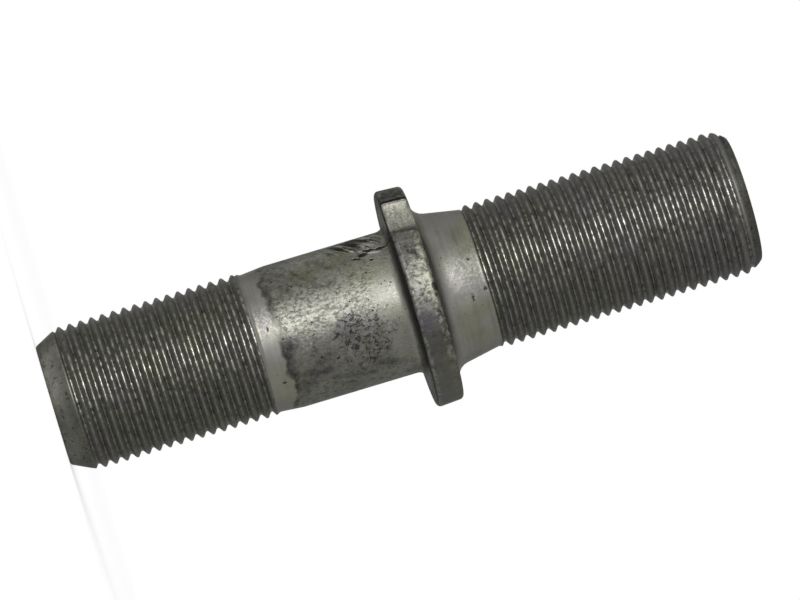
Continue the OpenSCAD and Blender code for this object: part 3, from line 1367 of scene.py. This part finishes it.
@dataclass(frozen=True)
class BoltMaterial:
    """The bolt's steel: each region's finish, laid over the one before."""

    sizes: BoltSizes
    view: PhotoView
    scale_start: float = 2.0
    cone_edge: float = 3.1
    tip_edge: float = 1.15
    limb: float = 0.5
    tip_dark: float = 0.47
    collar_from: tuple = (12.2, 12.9)
    near_rim: tuple = (13.0, 13.4)
    # Radii within which the painted shade in the collar's corners shows.
    corner_shade_within: tuple = (14.2, 13.6)

    def build(self) -> bpy.types.Material:
        """Builds the material.

        Returns:
            The material.
        """
        material = bpy.data.materials.new("bolt_steel")
        graph = Graph.of_material(material)
        place = Place(graph, self.view, self.sizes.shank_r / MM)
        look = self.shank_and_threads(place)
        look = self.collar(place, look)
        tinted = graph.mix(graph.math("MINIMUM", look.olive, 1.0), Tint.STEEL.value, Tint.OLIVE.value)
        tinted = graph.mix(graph.math("MINIMUM", look.violet, 1.0), tinted, Tint.VIOLET.value)
        color = graph.vector("SCALE", {0: tinted, "Scale": look.value})
        bump = graph.node("ShaderNodeBump", None, {"Height": look.height, "Distance": MM, "Strength": 1.0})
        shader = graph.node(
            "ShaderNodeBsdfPrincipled", None,
            {"Base Color": color, "Roughness": look.roughness, "Metallic": 1.0,
             "Specular Tint": (self.limb, self.limb, self.limb, 1.0), "Normal": bump.outputs[0]},
        )
        graph.node("ShaderNodeOutputMaterial", None, {"Surface": shader.outputs[0]})
        return material

    def shank_and_threads(self, place: Place) -> Layer:
        """Threads, chamfered ends, neck, runout and shank.

        Args:
            place: where a point lies.

        Returns:
            The layer.
        """
        s, graph = self.sizes, place.graph
        runout_z, seat_z = s.short_thread_l / MM, s.seat_z / MM
        neck_z, top_z = s.neck_end_z / MM, s.bolt_l / MM
        ragged = place.noise(2.9, 2.5, 0.5, 0.3, shift=37.0) - 0.5
        look = ThreadFinish().layer(place, s.thread_r / MM)
        end = EndFinish().layer(place)
        look = look.under(graph, place.z.rise(self.cone_edge + 0.1, self.cone_edge - 0.1), end)
        tip_grain = place.noise(0.35, 2.0, 0.7, shift=91.0)
        tip_value = end.value * (tip_grain + 0.5) * self.tip_dark
        tip = Layer(tip_value, end.roughness, end.height + tip_grain * 0.08)
        tip_start = top_z - self.tip_edge
        look = look.under(graph, place.z.rise(tip_start - 0.3, tip_start + 0.2), tip)
        on_smooth = (place.z + ragged * 0.4).band(runout_z - 0.6, neck_z + 0.1, 0.12)
        look = look.under(graph, on_smooth, SmoothFinish().layer(place))
        edge_z = place.z + ragged * 3.2
        start = runout_z + self.scale_start
        on_forged = edge_z.rise(start - 0.26, start + 0.26) * place.z.rise(seat_z + 0.1, seat_z)
        look = look.under(graph, on_forged, ForgedFinish().layer(place))
        shade = edge_z.band(start, start + 0.35, 0.4) * place.noise(2.4, 3.0, shift=41.0).rise(0.36, 0.56)
        shade = shade * (1.0 - place.angle.band(-24.0, 3.0, 9.0) * 0.8)
        look.value = look.value * (1.0 - shade * 0.38)
        look.height = look.height + edge_z.rise(start - 0.2, start + 0.3) * 0.03
        return look

    def collar(self, place: Place, look: Layer) -> Layer:
        """Lays the collar, its notch and the painted shade in its two corners over the rest.

        Args:
            place: where a point lies.
            look: the layer below.

        Returns:
            The layer.
        """
        s, graph = self.sizes, place.graph
        seat_z, rim_z = s.seat_z / MM, s.rim_top_z / MM
        ragged = place.noise(1.0, 3.0, 0.6, shift=83.0) - 0.5
        rim = RimFinish().layer(place, seat_z, rim_z, s.collar_r / MM)
        look = look.under(graph, place.radius.rise(*self.collar_from), rim)
        # Painted shade: the corners where the collar meets the shank and the neck are darkened.
        corner_shade = graph.most(
            (place.z + ragged * 0.4).band(seat_z - 0.35, seat_z + 0.05, 0.4),
            (place.z + ragged * 0.5).band(rim_z - 0.1, rim_z + 0.4, 0.9) * 0.45,
        )
        corner_shade = corner_shade * place.radius.rise(*self.corner_shade_within)
        look.value = look.value * (1.0 - corner_shade * 0.55)
        notch_angle = math.degrees(s.notch_azimuth - self.view.facing_azimuth)
        half = math.degrees(s.notch_half_angle)
        on_notch = place.angle.band(notch_angle - half + 0.3, notch_angle + half - 0.3, 0.5)
        on_notch = on_notch * place.radius.rise(13.0, 13.2) * place.z.rise(seat_z + 0.1, seat_z + 0.3)
        look = look.under(graph, on_notch, NotchFinish().layer(place))
        lip = notch_angle - half
        near_rim = place.radius.rise(*self.near_rim)
        # Painted shadow: a dark ragged line along the notch's upper edge.
        crease_shadow = (place.angle + ragged * 2.5).band(lip - 2.2, lip - 0.4, 0.6) * near_rim
        look.value = look.value * (1.0 - crease_shadow * 0.85)
        # Painted shade: the rim beyond the notch's upper edge is darkened in ragged patches.
        cap_shade = place.angle.rise(lip - 1.0, lip - 3.0) * place.angle.rise(-120.0, -100.0) * near_rim
        look.value = look.value * (1.0 - cap_shade * (ragged.rise(-0.15, 0.1) * 0.34 + 0.02))
        return look


class Studio:
    """Floor, lamps, world and camera."""

    def __init__(self, view: PhotoView) -> None:
        """Keeps the view.

        Args:
            view: how the bolt stands to the camera.
        """
        self.view = view
        self.soft_light = 0.75
        self.floor_half = 1.6
        self.floor_lift = 0.29
        self.far_lift = 0.10
        self.floor_fade = (0.3, 1.4)

    def camera(self) -> bpy.types.Object:
        """Places the camera at the photograph's viewing angle.

        The eye stands level with the short thread and looks at the picture's middle. The picture's
        right axis is the bolt's projected axis turned back by the roll.

        Returns:
            The camera.
        """
        view = self.view
        eye = view.toward * view.eye_distance + Vector((0.0, 0.0, view.eye_z))
        target = view.below * -view.axis_shift + Vector((0.0, 0.0, view.centre_z))
        back = (eye - target).normalized()
        along = Vector((0.0, 0.0, 1.0))
        along = (along - back * along.dot(back)).normalized()
        across = back.cross(along)
        right = along * math.cos(view.roll) - across * math.sin(view.roll)
        up = along * math.sin(view.roll) + across * math.cos(view.roll)
        data = bpy.data.cameras.new("camera")
        data.sensor_width = 36.0
        data.lens = data.sensor_width * view.pixels_per_metre * (eye - target).length / view.frame_width
        data.clip_start, data.clip_end = 0.01, 20.0
        camera = bpy.data.objects.new("camera", data)
        rows = [[right[k], up[k], back[k], eye[k]] for k in range(3)] + [[0.0, 0.0, 0.0, 1.0]]
        camera.matrix_world = Matrix(rows)
        bpy.context.scene.collection.objects.link(camera)
        bpy.context.scene.camera = camera
        return camera

    def lamp(self, name: str, place: Vector, aim: Vector, size: float, power: float) -> None:
        """Adds a square soft lamp.

        Args:
            name: the lamp's name.
            place: where it stands.
            aim: the point that it faces.
            size: its edge.
            power: its power in watts.
        """
        data = bpy.data.lights.new(name, "AREA")
        data.shape, data.size, data.energy = "SQUARE", size, power
        lamp = bpy.data.objects.new(name, data)
        back = (place - aim).normalized()
        lamp.matrix_world = Matrix.Translation(place) @ back.to_track_quat("Z", "Y").to_matrix().to_4x4()
        bpy.context.scene.collection.objects.link(lamp)

    def build(self) -> None:
        """Builds the floor, the lamps, the world and the camera."""
        self.camera()
        view = self.view
        middle = Vector((0.0, 0.0, view.centre_z))
        key = middle + view.toward * 0.9 - view.below * 0.28 + Vector((0, 0, 0.1))
        self.lamp("key", key, middle, 0.3, 9.0)
        scene = bpy.context.scene
        scene.view_settings.view_transform = "Standard"
        world = bpy.data.worlds.new("world")
        scene.world = world
        world.use_nodes = True
        world.node_tree.nodes.clear()
        graph = Graph(world.node_tree)
        seen = self.seen_as_white(graph)
        strength = graph.blend(seen, self.soft_light, 1.0)
        white = (1.0, 1.0, 1.0, 1.0)
        background = graph.node("ShaderNodeBackground", None, {"Color": white, "Strength": strength})
        graph.node("ShaderNodeOutputWorld", None, {"Surface": background.outputs[0]})
        self.floor()

    def seen_as_white(self, graph: Graph) -> Wire:
        """1 for rays that show the background: the camera's, and those that gloss or glass sends on."""
        path = graph.node("ShaderNodeLightPath").outputs
        direct, gloss = Wire(graph, path["Is Camera Ray"]), Wire(graph, path["Is Glossy Ray"])
        shown = graph.math("MAXIMUM", direct, gloss)
        return graph.math("MAXIMUM", shown, Wire(graph, path["Is Transmission Ray"]))

    def floor(self) -> None:
        """Lays a wide plain floor under the bolt, pale enough to run into the background."""
        half = self.floor_half
        mesh = bpy.data.meshes.new("floor")
        corners = [(-half, -half, 0), (half, -half, 0), (half, half, 0), (-half, half, 0)]
        mesh.from_pydata(corners, [], [(0, 1, 2, 3)])
        floor = bpy.data.objects.new("floor", mesh)
        bpy.context.scene.collection.objects.link(floor)
        material = bpy.data.materials.new("floor_paper")
        graph = Graph.of_material(material)
        spot = graph.node("ShaderNodeTexCoord").outputs["Object"]
        parts = graph.node("ShaderNodeSeparateXYZ", None, {0: spot})
        x, y = Wire(graph, parts.outputs[0]), Wire(graph, parts.outputs[1])
        far = graph.math("SQRT", x * x + y * y).rise(*self.floor_fade)
        lift = self.seen_as_white(graph) * (far * self.far_lift + self.floor_lift)
        glow = graph.node("ShaderNodeCombineColor", None, {0: lift, 1: lift, 2: lift})
        shader = graph.node(
            "ShaderNodeBsdfPrincipled", None,
            {"Base Color": (0.85, 0.85, 0.85, 1.0), "Roughness": 0.9, "Specular IOR Level": 0.0,
             "Emission Color": glow.outputs[0], "Emission Strength": 1.0},
        )
        graph.node("ShaderNodeOutputMaterial", None, {"Surface": shader.outputs[0]})
        mesh.materials.append(material)


def main() -> None:
    """Builds the bolt and its studio, and reports the piece."""
    logging.basicConfig(level=logging.INFO, format="%(name)s: %(message)s")
    sizes, view = BoltSizes(), PhotoView()
    bolt = WheelBolt(sizes).build()
    bolt.data.materials.append(BoltMaterial(sizes, view).build())
    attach(bolt, "root")
    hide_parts(NODE)
    Studio(view).build()


if __name__ == "__main__":
    main()
